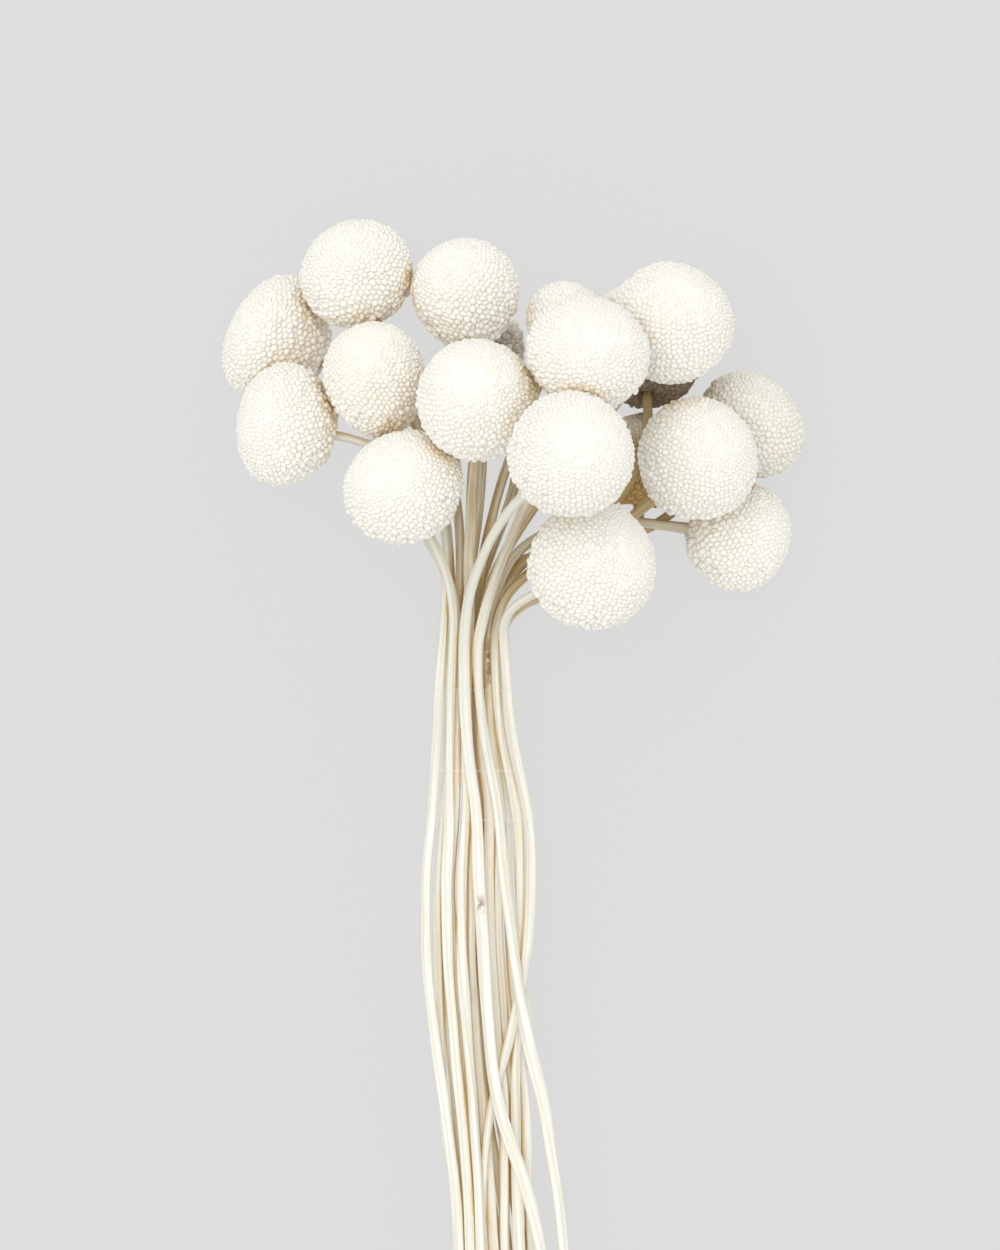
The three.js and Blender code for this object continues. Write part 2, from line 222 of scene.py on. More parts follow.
def mesh_object(name, corners, triangles, finish, maps, values):
    """A smooth mesh object, pressed flat where it would reach below the floor. maps has a place on the
    bake map for each triangle's three corners, and values has one number or vector a corner for each
    named attribute that the finish reads."""
    corners = np.maximum(corners, (-1, -1, 0))
    mesh = bpy.data.meshes.new(name)
    mesh.vertices.add(len(corners))
    mesh.vertices.foreach_set("co", np.ascontiguousarray(corners, np.float32).ravel())
    mesh.loops.add(triangles.size)
    mesh.loops.foreach_set("vertex_index", np.ascontiguousarray(triangles, np.int32).ravel())
    mesh.polygons.add(len(triangles))
    mesh.polygons.foreach_set("loop_start", np.arange(0, triangles.size, 3, dtype=np.int32))
    mesh.update(calc_edges=True)
    mesh.validate()
    mesh.shade_smooth()
    layer = mesh.uv_layers.new(name="OFBake")
    layer.uv.foreach_set("vector", np.ascontiguousarray(maps, np.float32).ravel())
    for key, numbers in values.items():
        numbers = np.ascontiguousarray(numbers, np.float32)
        kind, field = ("FLOAT", "value") if numbers.ndim == 1 else ("FLOAT_VECTOR", "vector")
        mesh.attributes.new(key, kind, "POINT").data.foreach_set(field, numbers.ravel())
    mesh.materials.append(finish)
    made = bpy.data.objects.new(name, mesh)
    bpy.context.scene.collection.objects.link(made)
    return made


# ---- finishes ----------------------------------------------------------------------------------


class Value:
    """A socket of a finish that takes part in arithmetic."""

    def __init__(self, finish, socket):
        self.finish, self.socket = finish, socket

    def __add__(self, other):
        return self.finish.math("ADD", self, other)

    def __mul__(self, other):
        return self.finish.math("MULTIPLY", self, other)

    __radd__, __rmul__ = __add__, __mul__


class Finish:
    """A material, built node by node around one Principled shader."""

    def __init__(self, name):
        self.material = bpy.data.materials.new(name)
        self.material.use_nodes = True
        self.tree = self.material.node_tree
        self.tree.nodes.clear()

    def node(self, kind, settings=(), **sockets):
        """A node of a kind, with its settings made first and then its sockets, each given a value or a
        link. A socket's name is written in lower case, with _ for a space, or as in_0 for the first."""
        made = self.tree.nodes.new(kind)
        for key, value in dict(settings).items():
            setattr(made, key, value)
        for key, value in sockets.items():
            if key.startswith("in_"):
                socket = made.inputs[int(key[3:])]
            else:
                name = key.replace("_", " ")
                socket = next(entry for entry in made.inputs if entry.name.lower() == name)
            if isinstance(value, Value):
                self.tree.links.new(value.socket, socket)
            else:
                socket.default_value = value
        return made

    def value(self, node, output=0):
        return Value(self, node.outputs[output])

    def math(self, operation, first, second):
        return self.value(self.node("ShaderNodeMath", {"operation": operation}, in_0=first, in_1=second))

    def attribute(self, name):
        return self.value(self.node("ShaderNodeAttribute", {"attribute_name": name}), "Fac")

    def span(self, value, low, high):
        """A value's way from low to high, as 0 to 1."""
        settings = {"interpolation_type": "SMOOTHSTEP"}
        return self.value(self.node("ShaderNodeMapRange", settings, value=value, from_min=low, from_max=high))

    def noise(self, scale, detail, place=None):
        """Noise in the object's own metres, or at a place."""
        place = place or self.value(self.node("ShaderNodeTexCoord"), "Object")
        return self.value(self.node("ShaderNodeTexNoise", vector=place, scale=scale, detail=detail), "Fac")

    def mix(self, part, first, second):
        """One colour over another."""
        colours = [c if isinstance(c, Value) else (*c, 1) for c in (first, second)]
        settings = {"data_type": "RGBA", "clamp_factor": True}
        mixed = self.node("ShaderNodeMix", settings, in_0=part, in_6=colours[0], in_7=colours[1])
        return self.value(mixed, 2)

    def bump(self, height, distance, strength):
        return self.value(self.node("ShaderNodeBump", height=height, distance=distance, strength=strength))

    def done(self, **sockets):
        shader = self.node("ShaderNodeBsdfPrincipled", **sockets)
        out = self.node("ShaderNodeOutputMaterial")
        self.tree.links.new(shader.outputs[0], out.inputs[0])
        return self.material


def floret_finish():
    """Bleached florets: ivory tips and cream sides, matt and a little fuzzy. Painted shade darkens the gaps
    between the florets. Where heads touch and close each other in, painted bounce light first makes them
    paler, then painted shade turns them peach to golden, and some hidden heads are painted darker."""
    finish = Finish("bleached_florets")
    relief = finish.attribute("relief")
    cream = finish.attribute("cream")
    closed = finish.attribute("closed")
    painted_shade = finish.attribute("painted_shade")
    shade_warmth = finish.attribute("shade_warmth")
    gap_shade = (0.79, 0.755, 0.68)
    golden_shade = (0.80, 0.61, 0.35)
    peach_shade = (0.94, 0.85, 0.71)
    pale = (0.965, 0.955, 0.90)
    painted_shade_colour = finish.mix(shade_warmth, (0.34, 0.27, 0.20), (0.60, 0.41, 0.15))
    side = (0.94, 0.925, 0.87)
    ivory = (0.94, 0.925, 0.86)
    yellow = (0.945, 0.895, 0.76)
    blush = (0.95, 0.88, 0.78)
    tip = finish.mix(cream, ivory, yellow)
    patch = finish.span(finish.noise(140, 3), 0.45, 0.75)
    tip = finish.mix(patch * 0.7, tip, blush)
    colour = finish.mix(finish.span(relief, 0.3, 0.85), side, tip)
    # painted shade: the gaps between florets are drawn darker, most where the florets open near the seat
    colour = finish.mix(finish.span(relief, 0.0, 0.4), gap_shade, colour)
    # painted bounce light: partly closed-in places are drawn paler
    colour = finish.mix(finish.span(closed, 0.2, 0.5) * 0.6, colour, pale)
    # painted shade: closed-in places are drawn peach, then golden where most closed in
    colour = finish.mix(finish.span(closed, 0.4, 0.65) * 0.5, colour, peach_shade)
    colour = finish.mix(finish.span(closed, 0.65, 1.0) * 0.6, colour, golden_shade)
    # painted shade on hidden heads, dark grey-brown or golden
    colour = finish.mix(painted_shade, colour, painted_shade_colour)
    fuzz = finish.noise(3000, 4)
    return finish.done(base_color=colour, roughness=0.86 + fuzz * 0.12, specular_ior_level=0.2,
                       normal=finish.bump(fuzz, 0.2 * MM, 0.4))


def stem_finish():
    """Bleached stalks: ivory with cream streaks along them, and a soft low sheen. Painted shade makes them
    tan near their heads, more for the stalks lying behind, darker in their grooves and golden where they lie
    close together, after painted bounce light has made them a little paler there."""
    finish = Finish("bleached_stalk")
    shade = finish.attribute("shade")
    groove_shade = finish.attribute("groove_shade")
    shade_tan = finish.attribute("shade_tan")
    scar = finish.attribute("scar")
    mark = finish.attribute("mark")
    cut = finish.attribute("cut")
    closed = finish.attribute("closed")
    grain = finish.value(finish.node("ShaderNodeAttribute", {"attribute_name": "grain"}), "Vector")
    streak = finish.span(finish.noise(1500, 3, grain), 0.42, 0.62)
    patch = finish.span(finish.noise(60, 3), 0.4, 0.7)
    ivory = (0.92, 0.91, 0.85)
    pale = (0.95, 0.93, 0.85)
    cream = (0.76, 0.71, 0.57)
    golden_shade = (0.80, 0.60, 0.27)
    brown = (0.47, 0.33, 0.14)
    colour = finish.mix(streak * 0.6, ivory, cream)
    # painted shade in the grooves between the ridges
    colour = finish.mix(groove_shade * 0.8, colour, (0.70, 0.65, 0.50))
    colour = finish.mix(patch * 0.4, colour, (0.80, 0.81, 0.73))
    colour = finish.mix(shade, colour, (0.72, 0.71, 0.61))
    # painted bounce light: partly closed-in stalks are drawn paler
    colour = finish.mix(finish.span(closed, 0.4, 0.7) * 0.75, colour, pale)
    # painted shade: golden where the stalks lie closest together
    colour = finish.mix(finish.span(closed, 0.68, 0.95) * 0.9, colour, golden_shade)
    # painted shade: tan brown on the stalks, stronger towards their heads and on those lying behind others
    colour = finish.mix(shade_tan * (0.5 + streak * 0.5), colour, brown)
    colour = finish.mix(scar, colour, (0.30, 0.19, 0.11))
    dots = finish.span(finish.noise(520, 2), 0.4, 0.55)
    colour = finish.mix(mark * dots, colour, (0.34, 0.20, 0.11))
    colour = finish.mix(cut, colour, (0.62, 0.45, 0.25))
    fibre = finish.noise(2600, 3, grain)
    rough = finish.noise(260, 2, grain)
    return finish.done(base_color=colour, roughness=0.48 + rough * 0.28,
                       normal=finish.bump(fibre, 0.12 * MM, 0.5))


def tape_finish():
    """Film that is nearly invisible but for painted highlights at its edges and at one glint, where it is
    drawn denser and white.
    """
    finish = Finish("clear_film")
    edge = finish.attribute("edge")
    crease = finish.noise(240, 2)
    # the film turns denser and white where its painted highlights are
    return finish.done(base_color=(0.95, 0.95, 0.93, 1), roughness=0.12 + crease * 0.1,
                       alpha=0.02 + edge * (0.05 + crease * 0.16), normal=finish.bump(crease, 0.3 * MM, 0.3))


def floor_finish():
    """A pale floor that glows a little, as one that is lit from below, so that shadows on it are faint."""
    finish = Finish("pale_floor")
    return finish.done(base_color=(FLOOR_SHADE, FLOOR_SHADE, FLOOR_SHADE, 1), roughness=0.9,
                       specular_ior_level=0.0, emission_color=(1, 1, 1, 1), emission_strength=FLOOR_GLOW)


# ---- stems -------------------------------------------------------------------------------------


def route_of(node):
    """A CAD stem's middle line, from its cut end to its head, and its radius. Its corners stand in
    rings, and each ring's edges lead to the next."""
    solid = welded(node)
    ring = sorted(solid.verts, key=lambda corner: corner.co.y)[:CAD_STEM_SIDES]
    passed, middles, radii = set(ring), [], []
    while ring:
        places = np.array([corner.co for corner in ring])
        middles.append(places.mean(axis=0))
        radii.append(np.linalg.norm(places - middles[-1], axis=1).mean())
        reached = {edge.other_vert(corner) for corner in ring for edge in corner.link_edges}
        ring = sorted(reached - passed, key=lambda corner: corner.index)
        passed.update(ring)
    solid.free()
    return np.array(middles), float(np.median(radii))


def waves(along, lengths, random):
    """A gentle random wander along a length, near -1 to 1."""
    total = sum(np.sin(2 * math.pi * (along / size + random.random())) for size in lengths)
    return total / len(lengths)


def stand_along(line):
    """The way ahead, and two ways across that don't twist, at each point of a line."""
    ahead = unit(np.gradient(line, axis=0))
    across = np.empty_like(line)
    across[0] = unit(np.cross(ahead[0], (0, 0, 1)))
    for i in range(1, len(line)):
        across[i] = unit(across[i - 1] - (across[i - 1] @ ahead[i]) * ahead[i])
    return ahead, across, np.cross(ahead, across)


def tube_triangles(rings, sides):
    """The triangles of a tube of rings, and of its two ends, which each meet in one more corner."""
    ring, side = [grid.ravel() for grid in np.meshgrid(np.arange(rings - 1), np.arange(sides), indexing="ij")]
    after = (side + 1) % sides
    a, b = ring * sides + side, ring * sides + after
    c, d = a + sides, b + sides
    start, end = rings * sides, rings * sides + 1
    round_start = np.arange(sides)
    round_end = round_start + (rings - 1) * sides
    walls = np.vstack((np.column_stack((a, b, d)), np.column_stack((a, d, c))))
    first = np.column_stack((np.roll(round_start, -1), round_start, np.full(sides, start)))
    last = np.column_stack((round_end, np.roll(round_end, -1), np.full(sides, end)))
    return np.vstack((walls, first, last))


def tube_maps(rings, sides, columns):
    """Bake map places for tube_triangles: the tube's wall is cut into columns that stand side by side."""
    ring, side = [grid.ravel() for grid in np.meshgrid(np.arange(rings - 1), np.arange(sides), indexing="ij")]
    each = math.ceil((rings - 1) / columns)
    column, row = ring // each, ring % each
    wide, high = 0.9 / columns, 0.94 / each
    left, right = [column / columns + wide * (side + k) / sides for k in (0, 1)]
    low, top = [0.03 + high * (row + k) for k in (0, 1)]
    a, b, c, d = (np.column_stack(p) for p in ((left, low), (right, low), (left, top), (right, top)))
    walls = np.vstack((np.stack((a, b, d), axis=1), np.stack((a, d, c), axis=1)))
    turn = 2 * math.pi * np.arange(sides + 1) / sides
    rim = 0.013 * np.column_stack((np.cos(turn), np.sin(turn)))
    ends = []
    for middle in ((0.015, 0.015), (0.05, 0.015)):
        disc = np.stack((rim[1:], rim[:-1], 0 * rim[1:]), axis=1) + middle
        ends.append(disc)
    return np.vstack((walls, *ends))


def stem(number):
    """A dried stalk: slightly flat and ridged, swelling to its head, with a scar here and there and a
    clean cut with a brown pith at its lower end."""
    node = f"stem_{number}"
    random = np.random.default_rng(100 + int(number))
    middles, radius = route_of(node)
    inward = unit(middles[-1] - middles[-2])
    line = smooth_line(np.vstack((middles, middles[-1] + inward * STEM_INTO_HEAD)), STEM_STEP)
    reach = STEM_STEP * np.arange(len(line))
    left = reach[-1] - reach
    ahead, across, other = stand_along(line)
    line = line + across * (waves(reach, (0.021, 0.034, 0.055), random) * STEM_LOOSE)[:, None]
    line = line + other * (waves(reach, (0.024, 0.041), random) * STEM_LOOSE)[:, None]

    turn = 2 * math.pi * np.arange(STEM_SIDES) / STEM_SIDES
    thinned = np.clip((line[:, 1] - THINNING[0]) / THINNING[1], 0, 1)
    size = radius * blend(GIRTHS.get(number, USUAL_GIRTH), thinned)
    size *= 1 + STEM_UNEVEN * waves(reach, (0.03, 0.07), random)
    size *= 1 + NECK_SWELL * np.exp(-left / NECK_REACH)
    flat = STEM_FLATNESS * (1 + 0.7 * waves(reach, (0.06, 0.11), random))[:, None]
    lean = turn + 2 * waves(reach, (0.16, 0.27), random)[:, None]
    ridges = sum(high * np.cos(many * lean + start) for many, high, start in RIDGES)
    groove_shade = np.clip(-ridges / GROOVE_SHADE_FULL, 0, 1)
    wall = (1 + flat * np.cos(2 * lean) + ridges) * size[:, None]

    shade = GREY_STRETCHES * np.clip(waves(reach, (0.05, 0.13), random), 0, 1)
    greyed = np.clip((line[:, 1] - GREY_FADES[0]) / (GREY_FADES[1] - GREY_FADES[0]), 0, 1)
    shade = shade + GREY_SHADE * greyed
    shade = shade[:, None] * np.ones(STEM_SIDES)
    scar = np.zeros_like(wall)
    for _ in range(random.integers(1, 3)):
        at, way = random.uniform(0.1, 0.8) * reach[-1], random.uniform(0, 2 * math.pi)
        off_way = np.abs((turn - way + math.pi) % (2 * math.pi) - math.pi)
        knot = np.exp(-((reach[:, None] - at) / SCAR_LENGTH) ** 2 - (off_way / SCAR_WIDTH) ** 2)
        scar += SCAR_TINT * knot
        wall += SCAR_HEIGHT * knot
    # painted shade: how tan each stalk is drawn, above and below the neck
    upper, lower = PAINTED_SHADE_TANS[number]
    fade = np.clip((line[:, 1] - SHADE_TAN_FADES[0]) / (SHADE_TAN_FADES[1] - SHADE_TAN_FADES[0]), 0, 1)
    shade_tan = (blend((lower, upper), fade**2 * (3 - 2 * fade)))[:, None] * np.ones(STEM_SIDES)
    cut = np.exp(-reach / CUT_REACH)[:, None] * CUT_TINT * np.ones(STEM_SIDES)

    bevel = np.ones(len(line))
    bevel[0] = CUT_BEVEL
    wall = wall * bevel[:, None]
    rings = (line[:, None] + across[:, None] * (wall * np.cos(turn))[..., None]
             + other[:, None] * (wall * np.sin(turn))[..., None])
    start = line[0] + ahead[0] * PITH_DEPTH
    corners = np.vstack((rings.reshape(-1, 3), start, line[-1]))
    ways = unit(rings - line[:, None])
    closed = shut_in(rings.reshape(-1, 3), ways.reshape(-1, 3))
    mark = np.zeros_like(wall)
    for stalk, at, half in MARKS:
        if stalk == number:
            off = (line[:, 1, None] - at) / (half * MM)
            mark += np.exp(-off**4) * np.clip(ways[..., 2] * 2 - 1, 0, 1)

    slow = reach[:, None] * STEM_GRAIN + 0 * wall
    grain = np.stack((wall * np.cos(turn), slow, wall * np.sin(turn)), axis=-1).reshape(-1, 3) + int(number)

    def with_ends(grid, first):
        return np.concatenate((grid.ravel(), (first, 0)))

    made = mesh_object(
        f"stalk_{number}", corners, tube_triangles(len(line), STEM_SIDES), STALK,
        tube_maps(len(line), STEM_SIDES, 7),
        {"shade": with_ends(shade, 0), "groove_shade": with_ends(groove_shade, 0), "shade_tan": with_ends(shade_tan, 0),
         "scar": with_ends(scar, 0), "mark": with_ends(mark, 0), "cut": with_ends(cut, 1),
         "closed": with_ends(closed, 0), "grain": np.vstack((grain, grain[[0, -1]]))})
    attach(made, "root")
    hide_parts(node)
    return middles[-1], line, wall


# ---- flower heads ------------------------------------------------------------------------------


class HeadForm:
    """The smooth form of a CAD flower head: its middle, its crown's direction and its outline."""

    def __init__(self, node, stem_end, random):
        solid = welded(node)
        corners = np.array([corner.co for corner in solid.verts])
        solid.free()
        self.middle = corners.mean(axis=0)
        self.crown = unit(self.middle - stem_end)
        self.side = unit(np.cross(self.crown, (0.31, 0.52, 0.79)))
        self.other = np.cross(self.crown, self.side)
        arms = corners - self.middle
        along = arms @ self.crown
        across = np.linalg.norm(arms - along[:, None] * self.crown, axis=1)
        order = np.argsort(-along)
        steps = np.where(-np.diff(along[order]) > 0.1 * MM)[0] + 1
        outline = [(along[ring].mean(), across[ring].max()) for ring in np.split(order, steps)]
        outline[0] = (outline[0][0], 0.0)
        flip = (1, -1)
        outline = np.array([*outline, (outline[-1][0] + SEAT_HOLLOW, 0.0)])
        line = smooth_line(outline, 0.1 * MM, outline[1] * flip, outline[-2] * flip)
        line[:, 1] = np.abs(line[:, 1])
        way = unit(np.gradient(line, axis=0))
        self.out = np.column_stack((way[:, 1], -way[:, 0]))
        self.line = line - SKIN_INSET * self.out
        strips = (line[1:, 1] + line[:-1, 1]) * np.linalg.norm(np.diff(line, axis=0), axis=1) * math.pi
        self.skin = np.append(0, np.cumsum(strips))
        self.lumps = [(unit(random.normal(size=3)), random.uniform(*LUMP_RATES), random.uniform(0, 6.3))
                      for _ in range(LUMPS)]

    def place(self, ball):
        """The places on the form, and the ways out of it, for places on a unit ball. An even spread on the
        ball is finer at the form's crown, and coarser near its seat."""
        share = (1 - ball[:, 2]) / 2
        skin = share * (1 + CROWN_FINENESS * (share - 1)) * self.skin[-1]
        along, across, out_along, out_across = (
            np.interp(skin, self.skin, numbers)[:, None] for numbers in (*self.line.T, *self.out.T))
        turn = np.arctan2(ball[:, 1], ball[:, 0])[:, None]
        sideways = np.cos(turn) * self.side + np.sin(turn) * self.other
        out = unit(out_along * self.crown + out_across * sideways)
        lump = sum(np.cos(rate * (ball @ way) + start) for way, rate, start in self.lumps)
        swell = (LUMP_HEIGHT * lump - LUMP_SINK)[:, None]
        return self.middle + along * self.crown + across * sideways + swell * out, out


def spiral_ball(count, random):
    """Places spread evenly in spirals over a unit ball, each a little astray."""
    number = np.arange(count)
    level = 1 - 2 * (number + 0.5) / count
    turn = number * GOLDEN_TURN
    across = np.sqrt(1 - level**2)
    places = np.column_stack((across * np.cos(turn), across * np.sin(turn), level))
    spacing = math.sqrt(4 * math.pi / count)
    return unit(places + random.normal(0, FLORET_JITTER * spacing, places.shape))


def neighbours(ball):
    """The triangles between neighbouring places of a unit ball, counterclockwise from outside."""
    solid = bmesh.new()
    for place in ball:
        solid.verts.new(place)
    solid.verts.index_update()
    bmesh.ops.convex_hull(solid, input=solid.verts[:])
    triangles = np.array([[corner.index for corner in face.verts] for face in solid.faces])
    solid.free()
    a, b, c = (ball[triangles[:, k]] for k in range(3))
    wrong = (np.cross(b - a, c - a) * (a + b + c)).sum(axis=1) < 0
    triangles[wrong] = triangles[wrong][:, ::-1]
    return triangles


def cells_round(ball, triangles):
    """The cell of each floret, as rows in order round it: the floret, the gap corner that the row is at,
    and the row of the next corner. A gap corner lies in the middle of each triangle."""
    gaps = unit(ball[triangles].mean(axis=1))
    floret = triangles.ravel()
    gap = np.repeat(np.arange(len(triangles)), 3)
    middle = ball[floret]
    east = unit(np.cross(middle, (0.36, 0.48, 0.8)))
    north = np.cross(middle, east)
    away = gaps[gap] - middle
    turn = np.arctan2((away * north).sum(axis=1), (away * east).sum(axis=1))
    order = np.lexsort((turn, floret))
    floret, gap = floret[order], gap[order]
    first = np.searchsorted(floret, np.arange(len(ball)))
    after = np.arange(len(floret)) + 1
    last = np.append(first[1:], len(floret)) - 1
    after[last] = first
    return gaps, floret, gap, after


def ball_map(ball, home):
    """Places on a square map of a unit ball, folded out from a double pyramid. home is the middle of the
    patch that a place belongs to, which says to which side of a fold it goes."""
    side_x, side_y = np.where(home[:, 0] < 0, -1, 1), np.where(home[:, 1] < 0, -1, 1)
    x, y, z = ball.T
    under = home[:, 2] < 0
    spread = np.where(under, x * side_x + y * side_y, np.abs(x) + np.abs(y)) + np.abs(z)
    x, y = x / spread, y / spread
    folded = np.column_stack((np.where(under, (1 - y * side_y) * side_x, x),
                              np.where(under, (1 - x * side_x) * side_y, y)))
    return 0.5 + folded * 0.455


def flower_head(number, stem_end, cream):
    """A head of florets: each is a small knob in its own cell of one closed skin, domed or with a pit, and
    the gaps between the cells are deeper towards the seat."""
    node = f"flower_head_{number}"
    random = np.random.default_rng(500 + int(number))
    form = HeadForm(node, stem_end, random)
    count = round(form.skin[-1] / (0.866 * FLORET_SPACING**2))
    ball = spiral_ball(count, random)
    triangles = neighbours(ball)
    gaps, floret, gap, after = cells_round(ball, triangles)

    def opening(places):
        return np.clip(((1 - places[:, 2]) / 2 - OPEN_SHARES[0]) / (OPEN_SHARES[1] - OPEN_SHARES[0]), 0, 1)

    tops, out = form.place(ball)
    heights = blend(FLORET_HEIGHTS, opening(ball))
    lost_part, lost_depth = LOST_FLORETS
    drops = random.normal(0, 1, count) + lost_depth * (random.random(count) < lost_part)
    sunk = heights * np.maximum(drops, -HIGHEST_FLORET)
    tips = tops - sunk[:, None] * out
    surface, surface_out = form.place(gaps)
    open_gaps = opening(gaps)
    depth = blend(GAP_DEPTH, open_gaps) * random.uniform(*GAP_UNEVEN, len(gaps))
    bottoms = surface - depth[:, None] * surface_out

    open_here = opening(ball)[floret][:, None]
    tip, way = tips[floret], out[floret]
    to_corner = surface[gap] - tops[floret]
    to_side = (to_corner + to_corner[after]) / 2
    drop = blend(SHOULDER_DROP, open_here) * way
    pit = random.uniform(*FLORET_PITS, count) * MM
    shoulders = tip + blend(SHOULDER_REACH, open_here) * to_corner - drop
    shoulder_sides = tip + blend(SHOULDER_ROUND, open_here) * to_side - drop
    middles = tips - pit[:, None] * out

    rows = np.arange(len(floret))
    gap_at = count + gap
    shoulder = count + len(gaps) + rows
    shoulder_side = shoulder + len(rows)
    corners = np.vstack((middles, bottoms, shoulders, shoulder_sides))
    faces = np.vstack([np.column_stack(row) for row in (
        (gap_at, gap_at[after], shoulder_side), (gap_at, shoulder_side, shoulder),
        (gap_at[after], shoulder[after], shoulder_side),
        (shoulder, shoulder_side, floret), (shoulder_side, shoulder[after], floret))])

    def towards(to, part):
        return unit(ball[floret] * (1 - part) + to * part)

    side_balls = unit(gaps[gap] + gaps[gap][after])
    balls = np.vstack((ball, gaps, towards(gaps[gap], 0.8), towards(side_balls, 0.9)))
    home = np.tile(floret, 5)
    maps = ball_map(balls[faces].reshape(-1, 3), np.repeat(ball[home], 3, axis=0))

    tint = np.clip(cream + random.normal(0, FLORET_TINTS, count), 0, 1)
    shoulder_relief = np.full(2 * len(rows), SHOULDER_RELIEF)
    relief = np.concatenate((np.ones(count), blend(GAP_RELIEF, open_gaps), shoulder_relief))
    creams = np.concatenate((tint, np.full(len(gaps), cream), tint[floret], tint[floret]))
    closed = shut_in(tops, out)
    closed = np.concatenate((closed, closed[triangles].mean(axis=1), closed[floret], closed[floret]))
    # painted shade where a listed head lies hidden, only below a given place along the bunch
    strength, shade_warmth, start, top = PAINTED_SHADES.get(number, NO_PAINTED_SHADE)
    painted_shade = strength * np.clip((closed - start) / PAINTED_SHADE_SPAN, 0, 1)
    painted_shade = painted_shade * np.clip((top - corners[:, 1]) / PAINTED_SHADE_EDGE, 0, 1)
    made = mesh_object(
        f"florets_{number}", corners, faces, FLORETS, maps,
        {"relief": relief, "cream": creams, "closed": closed, "painted_shade": painted_shade,
         "shade_warmth": np.full(len(corners), shade_warmth)})
    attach(made, "root")
    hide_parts(node)
    return made


# ---- tape --------------------------------------------------------------------------------------


def rim_round(centres, radii, away, sides):
    """The corners of a line drawn tight round some circles, at a distance away from them."""
    turn = 2 * math.pi * np.arange(sides) / sides
    ways = np.column_stack((np.cos(turn), np.sin(turn)))
    far = (centres @ ways.T + radii[:, None]).max(axis=0) + away
    ways_after, far_after = np.roll(ways, -1, axis=0), np.roll(far, -1)
    return np.column_stack((far * ways_after[:, 1] - far_after * ways[:, 1],
                            far_after * ways[:, 0] - far * ways_after[:, 0])) / math.sin(turn[1])


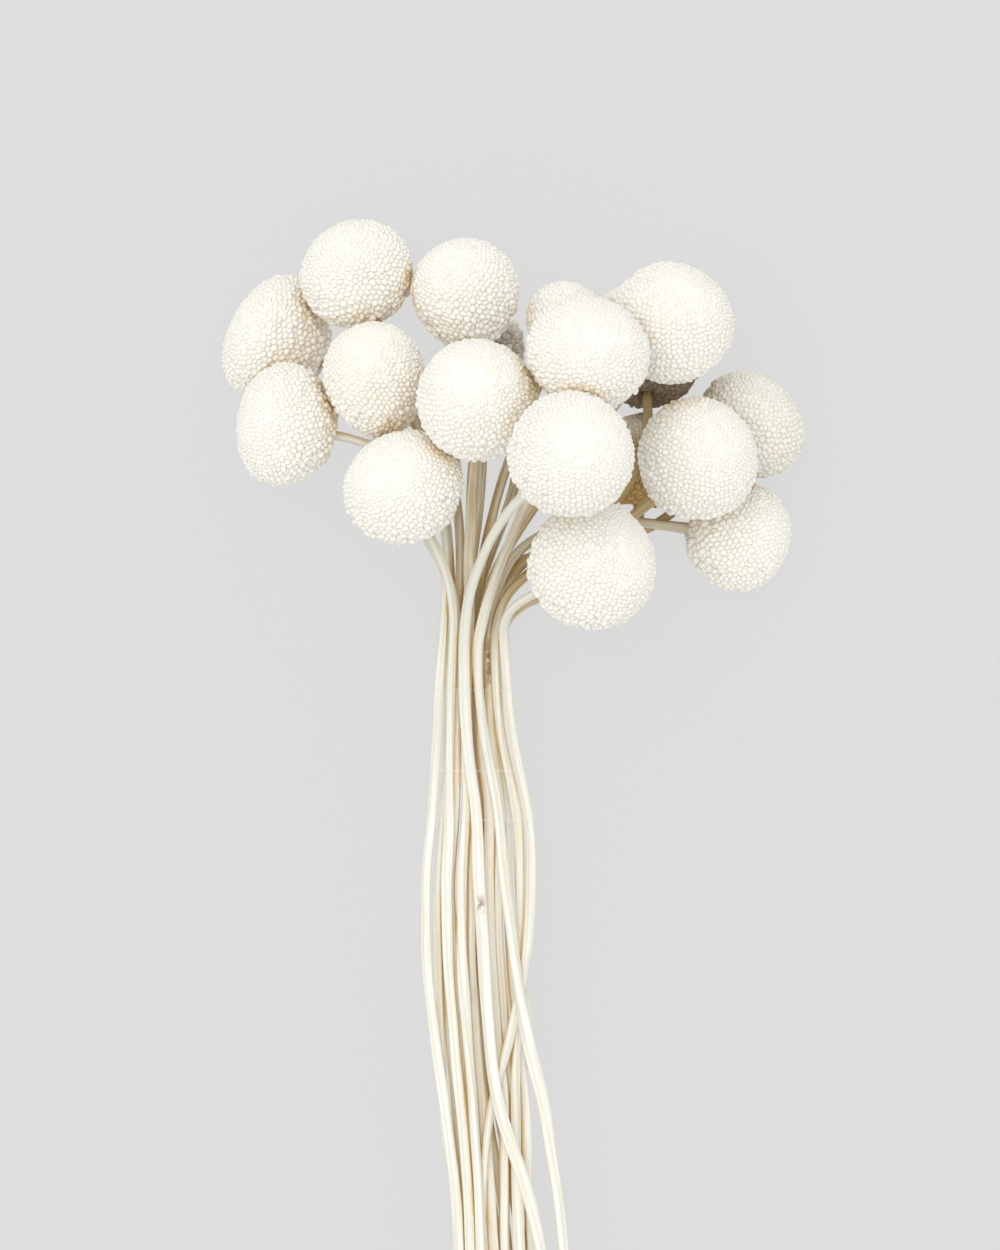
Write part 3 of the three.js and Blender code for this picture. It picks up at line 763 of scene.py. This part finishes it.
def clear_tape(lines, walls):
    """Clear film drawn tight round the stems in two turns. The second turn covers only the upper part of
    the first, and painted highlights at the film's edges and at one glint on top make it denser there."""
    low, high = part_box("clear_tape")
    edges = [low.y, low.y + TAPE_SECOND_TURN * (high.y - low.y), high.y]
    close_rings = [edge + TAPE_FILM * np.arange(-3, 4) for edge in edges]
    levels = np.concatenate((np.linspace(low.y, high.y, TAPE_RINGS), *close_rings))
    levels = np.unique(np.clip(levels, low.y, high.y))
    rings = []
    for level in levels:
        centres = np.array([[np.interp(level, line[:, 1], line[:, k]) for k in (0, 2)] for line in lines])
        radii = np.array([np.interp(level, line[:, 1], wall.max(axis=1)) for line, wall in zip(lines, walls)])
        turns = 2 if level >= edges[1] else 1
        for away in (TAPE_AIR + turns * TAPE_FILM, TAPE_AIR):
            rim = rim_round(centres, radii, away, TAPE_SIDES)
            rings.append(np.column_stack((rim[:, 0], np.full(TAPE_SIDES, level), rim[:, 1])))
    corners = np.array(rings)
    ring, side = [grid.ravel() for grid in
                  np.meshgrid(np.arange(len(levels) - 1), np.arange(TAPE_SIDES), indexing="ij")]
    outer, inner = ring * 2 * TAPE_SIDES, (ring * 2 + 1) * TAPE_SIDES
    after = (side + 1) % TAPE_SIDES
    step = 2 * TAPE_SIDES
    first = np.arange(TAPE_SIDES)
    second = (first + 1) % TAPE_SIDES
    top = (len(levels) - 1) * step
    quads = np.vstack([np.column_stack(quad) for quad in (
        (outer + side, outer + side + step, outer + after, outer + after + step),
        (inner + side, inner + after, inner + side + step, inner + after + step),
        (first, second, first + TAPE_SIDES, second + TAPE_SIDES),
        (top + first, top + first + TAPE_SIDES, top + second, top + second + TAPE_SIDES))])

    def strip(row, column, base, height, down):
        """The places on the bake map of a strip's quads."""
        left, right = [0.02 + 0.96 * (column + k) / TAPE_SIDES for k in (0, 1)]
        lower, higher = [base + height * (row + k) for k in (0, 1)]
        here = (left, lower), (left, higher), (right, lower), (right, higher)
        order = (0, 2, 1, 3) if down else (0, 1, 2, 3)
        return np.stack([np.column_stack(here[k]) for k in order], axis=1)

    high_row = 0.46 / (len(levels) - 1)
    flat = np.zeros(TAPE_SIDES)
    maps = np.vstack((strip(ring, side, 0.01, high_row, False), strip(ring, side, 0.53, high_row, True),
                      strip(flat, first, 0.48, 0.01, True), strip(flat, first, 0.50, 0.01, False)))
    # painted highlights along the film's edges, and at the glint on its upper side
    shine = np.max([np.exp(-((levels - edge) / EDGE_WIDTH) ** 2) for edge in edges], axis=0)
    shine = np.repeat(shine, 2 * TAPE_SIDES)
    places = corners.reshape(-1, 3)
    off = (places[:, :2] - TAPE_GLINT) / GLINT_SIZE
    shine = shine + GLINT_SHINE * np.exp(-(off**2).sum(axis=1)) * (places[:, 2] > (low.z + high.z) / 2)
    film = mesh_object("film", places, np.vstack((quads[:, :3], quads[:, [2, 1, 3]])), FILM,
                       np.vstack((maps[:, :3], maps[:, [2, 1, 3]])), {"edge": shine})
    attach(film, "root")
    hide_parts("clear_tape")


# ---- the scene ---------------------------------------------------------------------------------


def studio_floor():
    mesh = bpy.data.meshes.new("floor")
    corners = [(x * FLOOR_REACH, y * FLOOR_REACH, 0) for x, y in ((-1, -1), (1, -1), (1, 1), (-1, 1))]
    mesh.from_pydata(corners, [], [(0, 1, 2, 3)])
    mesh.materials.append(floor_finish())
    floor = bpy.data.objects.new("floor", mesh)
    bpy.context.scene.collection.objects.link(floor)


def studio_light():
    world = bpy.data.worlds.new("studio")
    world.use_nodes = True
    sky = world.node_tree.nodes["Background"]
    sky.inputs["Color"].default_value = (1, 1, 1, 1)
    sky.inputs["Strength"].default_value = SKY_LIGHT
    bpy.context.scene.world = world
    lamp = bpy.data.lights.new("softbox", "SUN")
    lamp.energy = LAMP_LIGHT
    lamp.angle = math.radians(LAMP_SIZE)
    softbox = bpy.data.objects.new("softbox", lamp)
    softbox.rotation_euler = Vector(LAMP_FROM).to_track_quat("Z", "Y").to_euler()
    bpy.context.scene.collection.objects.link(softbox)


def camera_above():
    lens = bpy.data.cameras.new("camera")
    lens.sensor_fit = "VERTICAL"
    lens.sensor_height = SENSOR
    lens.lens = SENSOR * CAMERA_DISTANCE / VIEW_HEIGHT
    lens.clip_end = 100
    camera = bpy.data.objects.new("camera", lens)
    camera.location = VIEW_MIDDLE + Vector((0, 0, CAMERA_DISTANCE))
    bpy.context.scene.collection.objects.link(camera)
    bpy.context.scene.camera = camera
    bpy.context.scene.view_settings.view_transform = "Standard"


SOLIDS = gathered_solids()
FLORETS = floret_finish()
STALK = stem_finish()
FILM = tape_finish()

stem_lines, stem_walls = [], []
for number in flowers:
    end, line, wall = stem(number)
    stem_lines.append(line)
    stem_walls.append(wall)
    flower_head(number, end, CREAMS.get(number, USUAL_CREAM))
clear_tape(stem_lines, stem_walls)

studio_floor()
studio_light()
camera_above()
